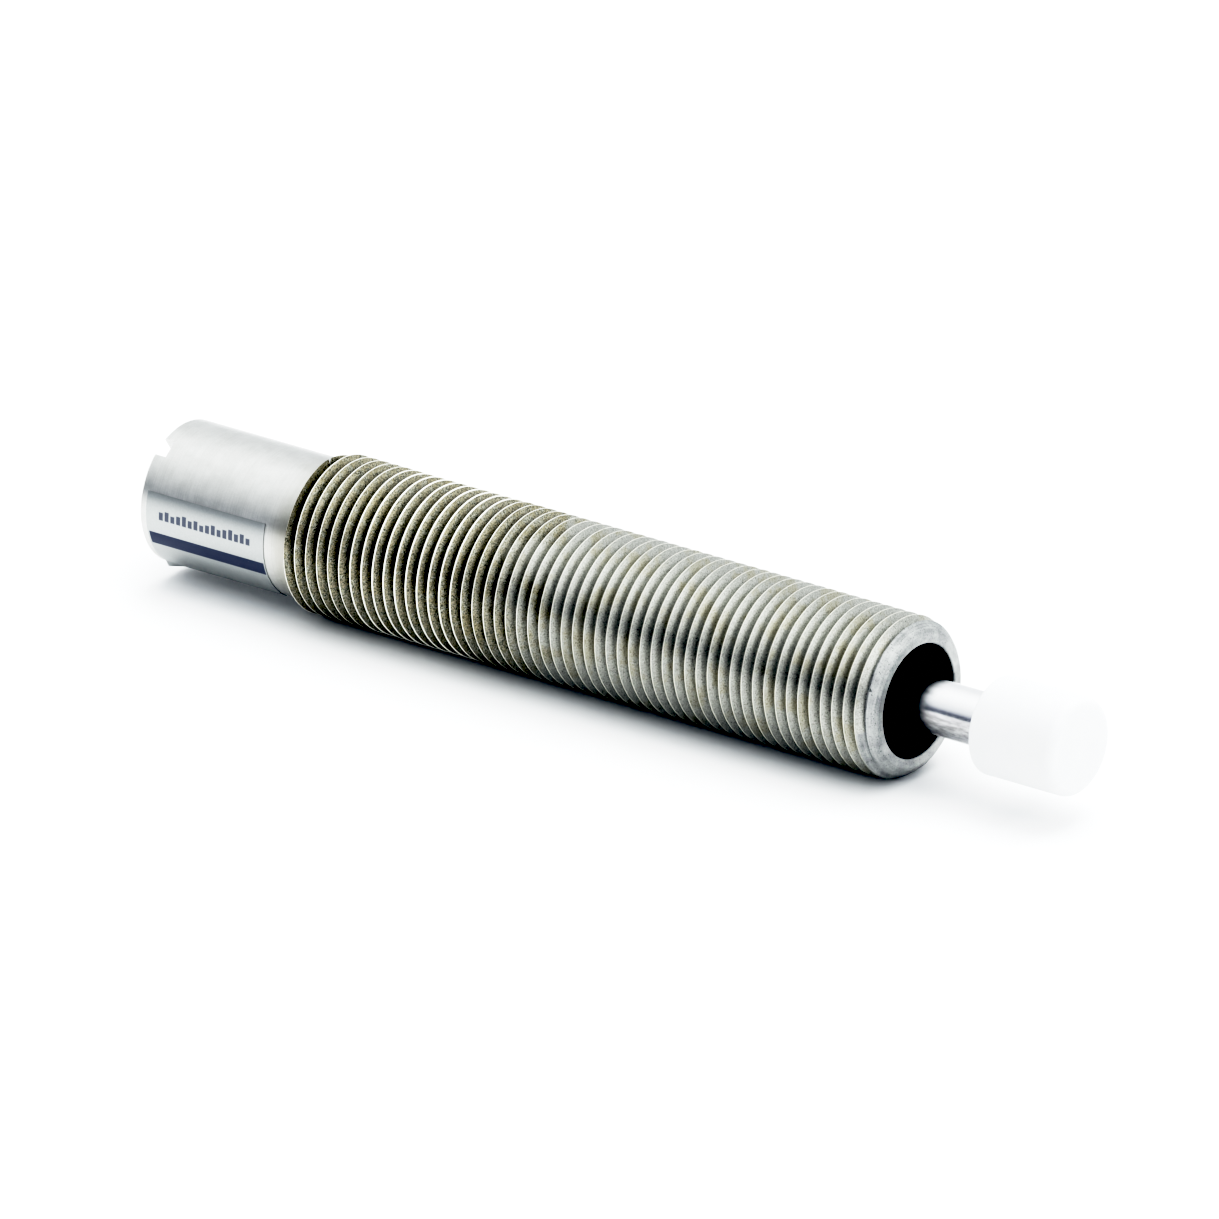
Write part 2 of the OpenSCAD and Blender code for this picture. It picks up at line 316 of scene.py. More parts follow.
def rear_blank():
    """The plain rear section with its slot and filler port, open at the shoulder."""
    edge = 0.2 * MM
    port_r = screw_hi.y + TOUCH
    bm = bmesh.new()
    profile = [(SHOULDER_X, 0), (SHOULDER_X, PLAIN_R)]
    profile += [(SHOULDER_X - PLAIN_LENGTH * t, PLAIN_R) for t in (0.25, 0.5, 0.75)]
    profile += [(BODY_REAR + edge, PLAIN_R), (BODY_REAR, PLAIN_R - edge), (BODY_REAR, port_r)]
    profile += [(BALL_SEAT_X, port_r), (BALL_SEAT_X, CHANNEL_R), (BORE_END, CHANNEL_R), (BORE_END, 0)]
    add_lathe(bm, profile)
    weld(bm)
    blank = new_mesh("rear_blank", bm)
    cutter = slot_cutter()
    cut = blank.modifiers.new("slot", "BOOLEAN")
    cut.operation = "DIFFERENCE"
    cut.solver = "EXACT"
    cut.object = cutter
    apply_modifiers(blank)
    bpy.data.objects.remove(cutter)
    bm = bmesh.new()
    bm.from_mesh(blank.data)
    lids = [f for f in bm.faces
            if any(all(abs(v.co.x - end) < SAME_POINT for v in f.verts)
                   for end in (SHOULDER_X, BORE_END))]
    bmesh.ops.delete(bm, geom=lids, context="FACES")
    bm.to_mesh(blank.data)
    bm.free()
    bevel = blank.modifiers.new("edges", "BEVEL")
    bevel.width = 0.06 * MM
    bevel.segments = 1
    bevel.limit_method = "ANGLE"
    bevel.angle_limit = math.radians(60)
    return apply_modifiers(blank)


def make_body():
    """The body: helical thread, chamfered front, bore with its ring groove, slotted rear end."""
    bm = bmesh.new()
    add_thread(bm)
    groove_front = snap_hi.x + SLIP
    groove_rear = snap_lo.x - SLIP
    groove_r = snap_hi.y + SLIP
    land = 0.05 * MM            # flat rings that keep the face's shading level at its edges
    inside = [(0, THREAD_R - FRONT_CHAMFER), (0, THREAD_R - FRONT_CHAMFER - land)]
    inside += [(0, BORE_R + MOUTH + land), (0, BORE_R + MOUTH)]
    inside += rounded(0, BORE_R, MOUTH, (-1, 1), 3)[1:]
    inside += [(groove_front, BORE_R), (groove_front, groove_r), (groove_rear, groove_r)]
    inside += [(groove_rear, BORE_R), (BORE_END, BORE_R), (BORE_END, CHANNEL_R)]
    add_lathe(bm, inside)
    weld(bm, 2 * SAME_POINT)
    return join_meshes(new_mesh("threaded_body", bm), rear_blank())


# ---------------------------------------------------------------- shader helpers
def new_material(name):
    """A material with its node tree and its Principled shader."""
    material = bpy.data.materials.new(name)
    material.use_nodes = True
    tree = material.node_tree
    return material, tree, tree.nodes["Principled BSDF"]


def put(tree, socket, value):
    """Links a socket's value, or sets a constant on it."""
    if isinstance(value, bpy.types.NodeSocket):
        tree.links.new(value, socket)
    else:
        socket.default_value = value


def maths(tree, operation, *values):
    """One Math node."""
    n = tree.nodes.new("ShaderNodeMath")
    n.operation = operation
    for socket, value in zip(n.inputs, values):
        put(tree, socket, value)
    return n.outputs[0]


def ease(tree, value, low, high, to_low=0.0, to_high=1.0):
    """Smooth step of value from low to high."""
    n = tree.nodes.new("ShaderNodeMapRange")
    n.interpolation_type = "SMOOTHSTEP"
    for name, v in (("Value", value), ("From Min", low), ("From Max", high),
                    ("To Min", to_low), ("To Max", to_high)):
        put(tree, n.inputs[name], v)
    return n.outputs[0]


def window(tree, value, low, high, soft):
    """1 between low and high, 0 outside, with soft edges."""
    up = ease(tree, value, low - soft, low + soft)
    down = ease(tree, value, high - soft, high + soft, 1.0, 0.0)
    return maths(tree, "MULTIPLY", up, down)


def mix(tree, factor, a, b):
    """Colour mix of a and b."""
    n = tree.nodes.new("ShaderNodeMix")
    n.data_type = "RGBA"
    n.clamp_factor = False
    put(tree, n.inputs["Factor"], factor)
    put(tree, n.inputs[6], a)
    put(tree, n.inputs[7], b)
    return n.outputs[2]


def noise(tree, place, scale, detail=3.0, roughness=0.5):
    """Noise value from 0 to 1 around 0.5."""
    n = tree.nodes.new("ShaderNodeTexNoise")
    put(tree, n.inputs["Vector"], place)
    n.inputs["Scale"].default_value = scale
    n.inputs["Detail"].default_value = detail
    n.inputs["Roughness"].default_value = roughness
    return n.outputs["Fac"]


def vector(tree, x, y, z):
    """A vector from three values."""
    n = tree.nodes.new("ShaderNodeCombineXYZ")
    for socket, value in zip(n.inputs, (x, y, z)):
        put(tree, socket, value)
    return n.outputs[0]


def bump(tree, shader, height, distance, strength=1.0):
    """Sets the shader's bump from a height, where 1 is that distance in metres."""
    n = tree.nodes.new("ShaderNodeBump")
    n.inputs["Strength"].default_value = strength
    n.inputs["Distance"].default_value = distance
    put(tree, n.inputs["Height"], height)
    tree.links.new(n.outputs["Normal"], shader.inputs["Normal"])


def vector_offset(tree, v, shift):
    """The vector moved by the same amount along each axis, for an independent noise."""
    n = tree.nodes.new("ShaderNodeVectorMath")
    n.operation = "ADD"
    put(tree, n.inputs[0], v)
    n.inputs[1].default_value = (shift, shift, shift)
    return n.outputs[0]


class Place:
    """Where a surface point is: x in mm, radius in mm, and its direction round the axis."""

    def __init__(self, tree):
        coordinates = tree.nodes.new("ShaderNodeTexCoord").outputs["Object"]
        scale = tree.nodes.new("ShaderNodeVectorMath")
        scale.operation = "SCALE"
        tree.links.new(coordinates, scale.inputs[0])
        scale.inputs["Scale"].default_value = 1 / MM
        split = tree.nodes.new("ShaderNodeSeparateXYZ")
        tree.links.new(scale.outputs[0], split.inputs[0])
        self.tree = tree
        self.point = scale.outputs[0]
        self.x, self.y, self.z = split.outputs
        yy = maths(tree, "MULTIPLY", self.y, self.y)
        self.radius = maths(tree, "SQRT", maths(tree, "MULTIPLY_ADD", self.z, self.z, yy))
        safe_radius = maths(tree, "MAXIMUM", self.radius, 0.01)
        self.side = maths(tree, "DIVIDE", self.y, safe_radius)
        self.up = maths(tree, "DIVIDE", self.z, safe_radius)

    def degrees(self):
        """Angle round the axis, 0 at +Z and positive towards -Y."""
        minus_y = maths(self.tree, "MULTIPLY", self.y, -1.0)
        angle = maths(self.tree, "ARCTAN2", minus_y, self.z)
        return maths(self.tree, "MULTIPLY", angle, 180 / math.pi)

    def marks(self, across, lines_per_mm, round_scale):
        """Coordinates that are fine along that value and long round the axis, for tool marks."""
        t = self.tree
        return vector(t, maths(t, "MULTIPLY", across, lines_per_mm),
                      maths(t, "MULTIPLY", self.side, round_scale),
                      maths(t, "MULTIPLY", self.up, round_scale))

    def turning(self, lines_per_mm, round_scale=0.8):
        """Tool marks of a turned length, which lie across the axis."""
        return self.marks(self.x, lines_per_mm, round_scale)

    def facing(self, lines_per_mm, round_scale=0.8):
        """Tool marks of a faced end, which lie across the radius."""
        return self.marks(self.radius, lines_per_mm, round_scale)


# ---------------------------------------------------------------- materials
# Places are in mm along the axis and degrees round it, as class Place gives them.
NUT_BAND = (-46.5, -37.0)           # where a lock nut has polished the crests
STAIN_FROM, STAIN_TO = -24.0, -40.0
SHOULDER_DARKENING = (-55.0, -52.7)
STRIPE_ANGLES = (104.3, 116.0)
STRIPE_ENDS = (-65.15, -54.75)
DASH_ENDS = (-64.2, -55.8)
DASH_FOOT = (91.6, 92.4)
DASH_TOP = 83.0
DASH_TOP_SPREAD = 3.5
DASHES_PER_MM = 1.9


def thread_steel():
    """Cut steel thread: grey and pitted, stained brown at the rear, with painted shade in its roots
    and crests worn bright and lifted by a painted highlight.
    """
    material, tree, shader = new_material("thread_steel")
    p = Place(tree)
    coarse = noise(tree, p.point, 0.45, 4.0, 0.6)
    medium = noise(tree, p.point, 2.2, 5.0, 0.65)
    speckle = noise(tree, p.point, 9.0, 4.0, 0.75)
    grit = noise(tree, vector_offset(tree, p.point, 31.0), 9.0, 3.0, 0.7)
    nut = window(tree, p.x, *NUT_BAND, 0.8)
    # crests
    depth = maths(tree, "SUBTRACT", THREAD_R / MM, p.radius)
    reach = maths(tree, "MULTIPLY_ADD", nut, 0.04, maths(tree, "MULTIPLY_ADD", medium, 0.03, -0.005))
    crest = ease(tree, maths(tree, "SUBTRACT", depth, reach), -0.01, 0.015, 1.0, 0.0)
    root = ease(tree, depth, 0.2, 0.52)
    # stain
    to_rear = ease(tree, p.x, STAIN_FROM, STAIN_TO)
    wander = maths(tree, "MULTIPLY_ADD", maths(tree, "SUBTRACT", coarse, 0.5), 1.6, to_rear)
    stain = ease(tree, wander, 0.15, 0.9)
    patch = ease(tree, medium, 0.32, 0.62)
    grime = maths(tree, "MULTIPLY", stain, maths(tree, "MULTIPLY_ADD", patch, 0.6, 0.4))
    # colours
    clean = mix(tree, ease(tree, speckle, 0.3, 0.7), (0.29, 0.285, 0.26, 1), (0.48, 0.475, 0.445, 1))
    smudge = maths(tree, "MULTIPLY", ease(tree, coarse, 0.5, 0.62), 0.35)
    clean = mix(tree, smudge, clean, (0.33, 0.30, 0.21, 1))
    olive = mix(tree, ease(tree, medium, 0.4, 0.6), (0.36, 0.31, 0.19, 1), (0.46, 0.45, 0.39, 1))
    stained = mix(tree, ease(tree, speckle, 0.34, 0.58), (0.07, 0.063, 0.046, 1), olive)
    colour = mix(tree, grime, clean, stained)
    pits = maths(tree, "MULTIPLY", ease(tree, grit, 0.36, 0.46, 1.0, 0.0),
                 maths(tree, "MULTIPLY_ADD", stain, 0.25, 0.4))
    colour = mix(tree, pits, colour, (0.05, 0.05, 0.045, 1))
    # painted shade in the thread's roots, deeper in the stained rear
    painted_root_shade = maths(tree, "MULTIPLY", root, maths(tree, "MULTIPLY_ADD", stain, 0.3, 0.05))
    colour = mix(tree, painted_root_shade, colour, (0.05, 0.048, 0.042, 1))
    # crest colour: worn bright, plus a painted highlight that grows to near white towards the rear
    bright = mix(tree, to_rear, (0.60, 0.59, 0.52, 1), (0.94, 0.93, 0.86, 1))
    colour = mix(tree, crest, colour, bright)
    put(tree, shader.inputs["Base Color"], colour)
    # less metal on the crests lets their painted highlight show as diffuse white
    dull = maths(tree, "MULTIPLY", crest, maths(tree, "MULTIPLY_ADD", nut, 0.25, 0.35))
    put(tree, shader.inputs["Metallic"], maths(tree, "SUBTRACT", 1.0, dull))
    rough = maths(tree, "MULTIPLY_ADD", speckle, 0.22, 0.25)
    rough = maths(tree, "MULTIPLY_ADD", grime, 0.1, rough)
    put(tree, shader.inputs["Roughness"], rough)
    height = maths(tree, "MULTIPLY_ADD", pits, -0.6, maths(tree, "ADD", speckle, medium))
    bump(tree, shader, height, 0.006 * MM, 0.6)
    return material


def turned_steel():
    """Satin turned steel of the plain section and the end faces."""
    material, tree, shader = new_material("turned_steel")
    p = Place(tree)
    lines = noise(tree, p.turning(9.0), 1.0, 3.0, 0.6)
    blotch = noise(tree, p.point, 0.9, 4.0, 0.6)
    grain = noise(tree, p.point, 9.0, 4.0, 0.7)
    front = ease(tree, p.x, -4.0, -2.5)
    tone = maths(tree, "MULTIPLY_ADD", lines, 0.3, maths(tree, "MULTIPLY", blotch, 0.4))
    tone = maths(tree, "MULTIPLY_ADD", grain, 0.3, tone)
    tone = ease(tree, tone, 0.3, 0.7)
    satin = mix(tree, tone, (0.49, 0.485, 0.465, 1), (0.61, 0.605, 0.585, 1))
    faced = mix(tree, tone, (0.25, 0.25, 0.245, 1), (0.53, 0.53, 0.515, 1))
    pits = maths(tree, "MULTIPLY", ease(tree, grain, 0.32, 0.4, 1.0, 0.0), front)
    # darker brown band just before the shoulder, strongest away from the top
    shoulder = ease(tree, p.x, *SHOULDER_DARKENING)
    shoulder_darkening = maths(tree, "MULTIPLY", shoulder, ease(tree, p.up, 0.9, 0.3, 0.2, 0.6))
    satin = mix(tree, shoulder_darkening, satin, (0.30, 0.28, 0.23, 1))
    colour = mix(tree, pits, mix(tree, front, satin, faced), (0.08, 0.08, 0.08, 1))
    put(tree, shader.inputs["Base Color"], colour)
    shader.inputs["Metallic"].default_value = 1.0
    rough = maths(tree, "MULTIPLY_ADD", grain, 0.2, 0.27)
    put(tree, shader.inputs["Roughness"], maths(tree, "MULTIPLY_ADD", front, 0.2, rough))
    height = maths(tree, "ADD", lines, maths(tree, "MULTIPLY_ADD", grain, 1.5, blotch))
    bump(tree, shader, height, 0.004 * MM, 0.7)
    return material


def painted_bore_shadow():
    """Painted shadow of the deep bore: a near-black wall in place of the shade inside it."""
    material, tree, shader = new_material("painted_bore_shadow")
    p = Place(tree)
    lines = noise(tree, p.turning(6.0), 1.0, 3.0, 0.6)
    # near black: painted shadow of the deep bore
    colour = mix(tree, lines, (0.001, 0.001, 0.001, 1), (0.004, 0.004, 0.005, 1))
    put(tree, shader.inputs["Base Color"], colour)
    put(tree, shader.inputs["Roughness"], maths(tree, "MULTIPLY_ADD", lines, 0.2, 0.5))
    shader.inputs["Specular IOR Level"].default_value = 0.05
    bump(tree, shader, lines, 0.004 * MM)
    return material


def hard_chrome():
    """Ground chrome with faint grinding marks, darkened where it leaves the body by oil and painted
    shade, and on its underside by oil streaks and painted shade.
    """
    material, tree, shader = new_material("hard_chrome")
    p = Place(tree)
    lines = noise(tree, p.turning(14.0, 0.5), 1.0, 2.0, 0.5)
    smear = noise(tree, p.turning(0.5, 3.0), 1.0, 3.0, 0.6)
    # darkening where the rod leaves the body: an oil film plus painted shade of the dark bore mouth
    oil_and_mouth_shade = maths(tree, "MULTIPLY_ADD", maths(tree, "SUBTRACT", smear, 0.5), 2.0, p.x)
    oil_and_mouth_shade = ease(tree, oil_and_mouth_shade, 0.6, 2.8, 0.85, 0.0)
    chrome = mix(tree, lines, (0.78, 0.78, 0.79, 1), (0.88, 0.88, 0.885, 1))
    # darker lower half: oil streaks plus painted shade of the floor's shadow seen in the chrome
    underside_oil_and_shade = maths(tree, "MULTIPLY", ease(tree, p.up, 0.45, 0.05), ease(tree, smear, 0.3, 0.6, 0.4, 0.8))
    chrome = mix(tree, underside_oil_and_shade, chrome, (0.16, 0.15, 0.14, 1))
    put(tree, shader.inputs["Base Color"], mix(tree, oil_and_mouth_shade, chrome, (0.12, 0.115, 0.11, 1)))
    shader.inputs["Metallic"].default_value = 1.0
    put(tree, shader.inputs["Roughness"], maths(tree, "MULTIPLY_ADD", lines, 0.14, 0.15))
    bump(tree, shader, lines, 0.0015 * MM, 0.5)
    return material


def white_plastic():
    """Matt, slightly translucent white plastic with faint mould texture."""
    material, tree, shader = new_material("white_plastic")
    p = Place(tree)
    cloud = noise(tree, p.point, 0.8, 3.0, 0.5)
    grain = noise(tree, p.point, 14.0, 2.0, 0.5)
    colour = mix(tree, cloud, (0.70, 0.71, 0.715, 1), (0.76, 0.765, 0.765, 1))
    put(tree, shader.inputs["Base Color"], colour)
    put(tree, shader.inputs["Roughness"], maths(tree, "MULTIPLY_ADD", grain, 0.15, 0.42))
    shader.inputs["Subsurface Weight"].default_value = 0.35
    shader.inputs["Subsurface Radius"].default_value = (1.0, 1.0, 1.0)
    shader.inputs["Subsurface Scale"].default_value = 1.2 * MM
    bump(tree, shader, grain, 0.004 * MM, 0.4)
    return material


def label_foil():
    """Silver foil label with a dark stripe and a row of plain dashes."""
    material, tree, shader = new_material("label_foil")
    p = Place(tree)
    angle = p.degrees()
    fibre = noise(tree, p.point, 7.0, 4.0, 0.6)
    foil = mix(tree, fibre, (0.36, 0.365, 0.355, 1), (0.46, 0.465, 0.455, 1))
    stripe = maths(tree, "MULTIPLY", window(tree, angle, *STRIPE_ANGLES, 0.5),
                   window(tree, p.x, *STRIPE_ENDS, 0.05))
    cells = maths(tree, "MULTIPLY", p.x, DASHES_PER_MM)
    gap = window(tree, maths(tree, "FRACT", cells), 0.15, 0.85, 0.04)
    # each dash has its own height, from the fraction of a multiple of its number
    kind = maths(tree, "FRACT", maths(tree, "MULTIPLY", maths(tree, "FLOOR", cells), 0.618))
    top = maths(tree, "MULTIPLY_ADD", kind, DASH_TOP_SPREAD, DASH_TOP)
    line = maths(tree, "MULTIPLY", ease(tree, angle, top, maths(tree, "ADD", top, 0.8)),
                 ease(tree, angle, *DASH_FOOT, 1.0, 0.0))
    dashes = maths(tree, "MULTIPLY", maths(tree, "MULTIPLY", line, gap),
                   window(tree, p.x, *DASH_ENDS, 0.03))
    ink = maths(tree, "MAXIMUM", stripe, maths(tree, "MULTIPLY", dashes, 0.8))
    ink = maths(tree, "MULTIPLY", ink, ease(tree, fibre, 0.22, 0.3))
    put(tree, shader.inputs["Base Color"], mix(tree, ink, foil, (0.055, 0.058, 0.085, 1)))
    put(tree, shader.inputs["Metallic"], maths(tree, "MULTIPLY_ADD", ink, -0.95, 0.95))
    put(tree, shader.inputs["Roughness"], maths(tree, "MULTIPLY_ADD", fibre, 0.15, 0.27))
    bump(tree, shader, fibre, 0.003 * MM, 0.4)
    return material


def plain_metal(name, dark, light, roughness, metallic):
    """Turned or stamped metal of an inner piece."""
    material, tree, shader = new_material(name)
    p = Place(tree)
    lines = noise(tree, p.turning(8.0), 1.0, 3.0, 0.6)
    rings = noise(tree, p.facing(8.0), 1.0, 3.0, 0.6)
    blotch = noise(tree, p.point, 1.5, 4.0, 0.6)
    tone = maths(tree, "MULTIPLY_ADD", maths(tree, "ADD", lines, rings), 0.25,
                 maths(tree, "MULTIPLY", blotch, 0.5))
    put(tree, shader.inputs["Base Color"], mix(tree, tone, (*dark, 1), (*light, 1)))
    shader.inputs["Metallic"].default_value = metallic
    put(tree, shader.inputs["Roughness"], maths(tree, "MULTIPLY_ADD", tone, 0.2, roughness - 0.1))
    bump(tree, shader, tone, 0.006 * MM, 0.5)
    return material


def rubber(name, dark, light, grain_scale, roughness, bump_mm):
    """Moulded rubber or foam of an inner piece."""
    material, tree, shader = new_material(name)
    p = Place(tree)
    grain = noise(tree, p.point, grain_scale, 4.0, 0.65)
    put(tree, shader.inputs["Base Color"], mix(tree, grain, (*dark, 1), (*light, 1)))
    put(tree, shader.inputs["Roughness"], maths(tree, "MULTIPLY_ADD", grain, 0.2, roughness - 0.1))
    bump(tree, shader, grain, bump_mm * MM, 0.6)
    return material


def slot_materials():
    """One material for each of the record's material slots."""
    found = {
        "turned_steel": turned_steel(),
        "label_foil": label_foil(),
        "white_plastic": white_plastic(),
        "hard_chrome": hard_chrome(),
    }
    # name: dark colour, light colour, roughness, metallic
    metals = {
        "spring_steel": ((0.20, 0.20, 0.21), (0.42, 0.42, 0.43), 0.35, 1.0),
        # washer_steel is kept dark: painted shade of the deep recess where the washers sit
        "washer_steel": ((0.10, 0.10, 0.105), (0.2, 0.2, 0.21), 0.4, 1.0),
        "guide_steel": ((0.42, 0.42, 0.42), (0.62, 0.62, 0.61), 0.35, 1.0),
        "tube_steel": ((0.52, 0.52, 0.53), (0.72, 0.72, 0.73), 0.28, 1.0),
        "bronze": ((0.42, 0.27, 0.11), (0.62, 0.43, 0.2), 0.35, 1.0),
        "dark_steel": ((0.02, 0.02, 0.022), (0.06, 0.06, 0.065), 0.45, 0.6),
    }
    # name: dark colour, light colour, grain scale, roughness, height of the grain in mm
    rubbers = {
        "black_rubber": ((0.012, 0.012, 0.012), (0.035, 0.035, 0.035), 9.0, 0.6, 0.01),
        "green_rubber": ((0.02, 0.07, 0.045), (0.05, 0.14, 0.09), 8.0, 0.45, 0.006),
        "foam": ((0.05, 0.05, 0.055), (0.16, 0.16, 0.17), 4.0, 0.9, 0.08),
    }
    found.update({name: plain_metal(name, *look) for name, look in metals.items()})
    found.update({name: rubber(name, *look) for name, look in rubbers.items()})
    return found


# ---------------------------------------------------------------- the pieces
slots = slot_materials()
slot_of = {s["node"]: s["material_slot"] for s in frame["record"]["subparts"]}
for name, obj in frame["nodes"].items():
    for place in obj.material_slots:
        place.material = slots[slot_of[name]]


def stand_for(piece, node, body, *materials):
    """The piece takes the node's place on its body, with the node's slot and material."""
    for material in materials or [slots[slot_of[node]]]:
        piece.data.materials.append(material)
    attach(piece, body)
    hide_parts(node)
    return piece


def finish_body(piece):
    """Gives the body's faces their materials: thread steel, turned steel, or the bore's near-black
    painted shadow.
    """
    turned_index, thread_index, bore_index = 0, 1, 2
    groove_depth = 0.4 * MM     # most that the ring groove goes deeper than the bore
    slot_room = 2 * MM          # rear end that the slot reaches
    mouth_room = 1 * MM         # front end where a wall has to face inward to be the bore
    for face in piece.data.polygons:
        c = face.center
        r = math.hypot(c.y, c.z)
        n = face.normal
        inward = n.y * c.y + n.z * c.z < -0.2 * r
        inside = r < BORE_R + groove_depth and BODY_REAR + slot_room < c.x < -MOUTH
        # faces inside the bore take the near-black painted shadow
        if inside and (inward or c.x < -mouth_room):
            face.material_index = bore_index
        elif SHOULDER_X < c.x < -FRONT_CHAMFER and r > PLAIN_R:
            face.material_index = thread_index
        else:
            face.material_index = turned_index


def make_rod():
    """The ground rod with its broken front edge and its stepped rear end."""
    piston_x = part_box("piston")[1].x
    hub_r = 1.5 * MM
    edge = 0.25 * MM
    profile = [(rod_hi.x, 0), (rod_hi.x, ROD_R - edge), (rod_hi.x - edge, ROD_R)]
    profile += [(piston_x, ROD_R), (piston_x, hub_r), (rod_lo.x + edge, hub_r)]
    profile += [(rod_lo.x, hub_r - edge), (rod_lo.x, 0)]
    return turned("rod", profile)


def make_cap():
    """The cap: rounded front edge, slight rear edge, blind socket for the rod."""
    socket_r = ROD_R + TOUCH
    socket_end = rod_hi.x + TOUCH
    front_round = 0.7 * MM
    rear_round = 0.25 * MM
    profile = [(cap_hi.x, 0), (cap_hi.x, CAP_R * 0.4)]
    profile += rounded(cap_hi.x, CAP_R, front_round, (-1, -1), 8)
    profile += reversed(rounded(cap_lo.x, CAP_R, rear_round, (1, -1), 5))
    profile += [(cap_lo.x, socket_r), (socket_end, socket_r), (socket_end, 0)]
    return turned("cap", profile)


def make_label(steps=40):
    """The label: a thin sheet bent round the plain section, with its lower rear corner lifting."""
    thickness = 0.06 * MM
    corner = 1.4 * MM           # length of the lifted corner along the axis
    lift = 0.3 * MM
    peel_share = 0.07           # part of the sweep that lifts
    stations = (label_lo.x, label_lo.x + corner, label_hi.x)
    bm = bmesh.new()
    loops = []
    for i in range(steps + 1):
        a = LABEL_FROM + LABEL_SWEEP * i / steps
        peel = lift * max(0, i / steps - (1 - peel_share)) / peel_share
        inner = [(x, PLAIN_R + (peel if x == label_lo.x else 0)) for x in stations]
        outer = [(x, r + thickness) for x, r in reversed(inner)]
        loops.append([bm.verts.new(point(x, r, a)) for x, r in inner + outer])
    close_tube(bm, loops)
    return smooth(new_mesh("foil_label", bm))


def make_spring(turns=7, wire_r=0.225 * MM, steps_per_turn=24, sides=10):
    """The return spring: closed end turns with an even rise between them."""
    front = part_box("spring_washer")[0].x - TOUCH - wire_r
    rear = SPRING_SEAT_X + TOUCH + wire_r
    mean_r = 2.6 * MM
    closed_rise = 2.3 * wire_r
    open_rise = (front - rear - 2 * closed_rise) / (turns - 2)
    bm = bmesh.new()
    rings = []
    for i in range(turns * steps_per_turn + 1):
        t = i / steps_per_turn
        x = front - closed_rise * (min(t, 1) + max(t - turns + 1, 0))
        x -= open_rise * min(max(t - 1, 0), turns - 2)
        ring = []
        for k in range(sides):
            s = 2 * math.pi * k / sides
            r = mean_r + wire_r * math.cos(s)
            ring.append(bm.verts.new(point(x + wire_r * math.sin(s), r, 2 * math.pi * t)))
        rings.append(ring)
    close_tube(bm, rings)
    return smooth(new_mesh("coil_spring", bm), 60)


body = smooth(make_body(), 40)
body_materials = (slots["turned_steel"], thread_steel(), painted_bore_shadow())
stand_for(body, "body_shell", "housing", *body_materials)
finish_body(body)
stand_for(make_rod(), "piston_rod", "rod")
stand_for(make_cap(), "bumper_cap", "rod")
stand_for(make_label(), "label", "housing")
spring = stand_for(make_spring(), "return_spring", "housing")
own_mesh(spring)


# ---------------------------------------------------------------- floor, light, camera
def make_floor():
    """A large pale floor under the part."""
    bpy.ops.mesh.primitive_plane_add(size=6, location=(0, 0, FLOOR_Z))
    floor = bpy.context.object
    floor.name = "floor"
    material = bpy.data.materials.new("floor_white")
    material.use_nodes = True
    shader = material.node_tree.nodes["Principled BSDF"]
    shader.inputs["Base Color"].default_value = (0.9, 0.9, 0.9, 1)
    shader.inputs["Roughness"].default_value = 0.8
    floor.data.materials.append(material)


def make_camera():
    """A long lens far away, at the reference view's azimuth and elevation."""
    azimuth, elevation = math.radians(37.2), math.radians(22.3)
    target = Vector((-27.5 * MM, 0, 0.2 * MM))
    distance = 1.941
    back = Vector((
        math.sin(azimuth) * math.cos(elevation),
        -math.cos(azimuth) * math.cos(elevation),
        math.sin(elevation),
    ))
    data = bpy.data.cameras.new("camera")
    data.sensor_width = 36
    data.lens = 804.6
    data.clip_start, data.clip_end = 0.05, 20
    camera = bpy.data.objects.new("camera", data)
    camera.location = target + back * distance
    camera.rotation_mode = "QUATERNION"
    camera.rotation_quaternion = (-back).to_track_quat("-Z", "Y")
    bpy.context.collection.objects.link(camera)
    bpy.context.scene.camera = camera


def area_light(name, location, size, power, target, colour):
    """A rectangular light aimed at the target, out of sight in reflections."""
    data = bpy.data.lights.new(name, "AREA")
    data.shape = "RECTANGLE"
    data.size, data.size_y = size
    data.energy = power
    data.color = colour
    light = bpy.data.objects.new(name, data)
    light.location = location
    light.rotation_mode = "QUATERNION"
    light.rotation_quaternion = (Vector(target) - Vector(location)).to_track_quat("-Z", "Y")
    light.visible_glossy = False
    bpy.context.collection.objects.link(light)


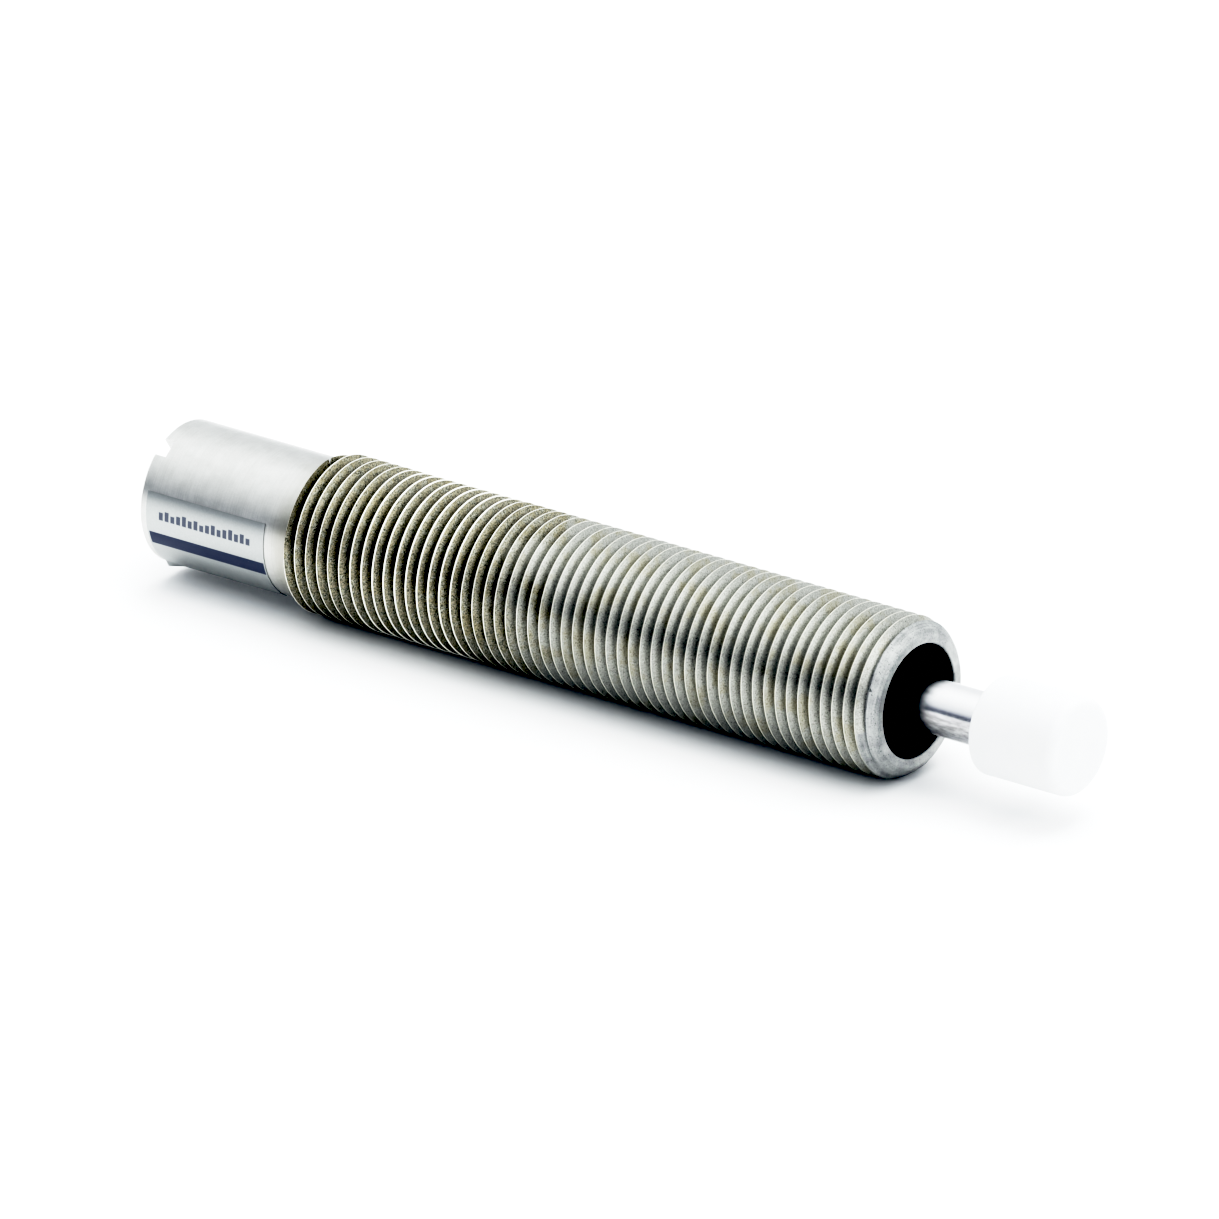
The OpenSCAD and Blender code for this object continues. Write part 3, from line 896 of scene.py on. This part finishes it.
def make_world():
    """Studio surroundings: brightest overhead, bright behind, a dark band low down in front."""
    world = bpy.data.worlds.new("studio")
    world.use_nodes = True
    tree = world.node_tree
    background = tree.nodes["Background"]
    direction = tree.nodes.new("ShaderNodeTexCoord").outputs["Generated"]
    split = tree.nodes.new("ShaderNodeSeparateXYZ")
    tree.links.new(direction, split.inputs[0])
    x, y, z = split.outputs
    low = ease(tree, z, 0.14, 0.48)
    high = ease(tree, z, 0.5, 0.85)
    zenith = ease(tree, z, 0.84, 0.95)
    right = maths(tree, "MULTIPLY", ease(tree, z, 0.17, 0.29), ease(tree, x, 0.5, 0.85))
    behind = maths(tree, "MULTIPLY", ease(tree, y, 0.1, 0.6), ease(tree, x, -0.45, -0.05, 1.0, 1.3))
    level = maths(tree, "MAXIMUM", maths(tree, "MULTIPLY", low, 0.95), behind)
    level = maths(tree, "MAXIMUM", level, maths(tree, "MULTIPLY", right, 3.0))
    level = maths(tree, "MULTIPLY_ADD", high, 0.7, level)
    level = maths(tree, "MULTIPLY_ADD", zenith, 1.25, level)
    dim, bright = (0.16, 0.168, 0.195, 1), (0.93, 0.96, 0.98, 1)
    put(tree, background.inputs["Color"], mix(tree, level, dim, bright))
    background.inputs["Strength"].default_value = 1.05
    bpy.context.scene.world = world


make_floor()
make_camera()
make_world()
area_light("key", location=(-0.1, 0.3, 0.9), size=(1.0, 1.0), power=7,
           target=(-0.026, 0, 0), colour=(0.97, 0.98, 1))


def set_tone():
    """A contrasty picture: crushed shadows and a soft shoulder in the highlights."""
    view = bpy.context.scene.view_settings
    view.view_transform = "Standard"
    view.gamma = 0.82
    view.use_curve_mapping = True
    mapping = view.curve_mapping
    mapping.black_level = (0.115, 0.109, 0.098)
    mapping.white_level = (1.6, 1.6, 1.6)
    knots = ((0.06, 0.12), (0.13, 0.30), (0.24, 0.59), (0.36, 0.775), (0.5, 0.885), (0.7, 0.945))
    combined = mapping.curves[3]
    for knot in knots:
        combined.points.new(*knot)
    mapping.update()


set_tone()
